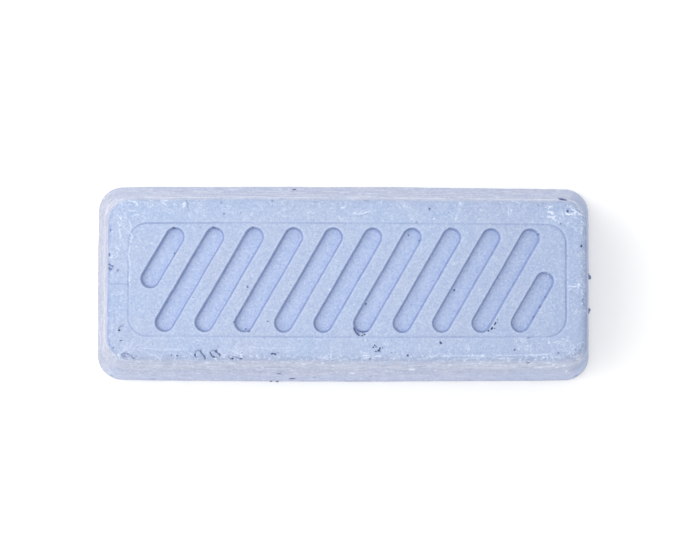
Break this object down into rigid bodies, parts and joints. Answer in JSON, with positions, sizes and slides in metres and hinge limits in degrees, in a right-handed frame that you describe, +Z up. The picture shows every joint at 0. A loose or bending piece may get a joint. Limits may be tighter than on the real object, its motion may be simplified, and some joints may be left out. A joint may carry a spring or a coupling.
{
  "type": "polishing compound bar",
  "caption": "Hard wax-bound polishing compound cast as a drafted block with rounded corners, a mould-insert line and slanted grooves in its top face.",
  "frame": {"origin": "centre of the base face, on the surface the bar lies on", "axes": "+X along the bar's length, +Y across its width, +Z up from the base to the grooved top face"},
  "size_m": [0.11, 0.0432, 0.028],
  "materials": {
    "compound": "matte"
  },
  "bodies": {
    "root": {"cast_bar": "compound"}
  },
  "joints": []
}
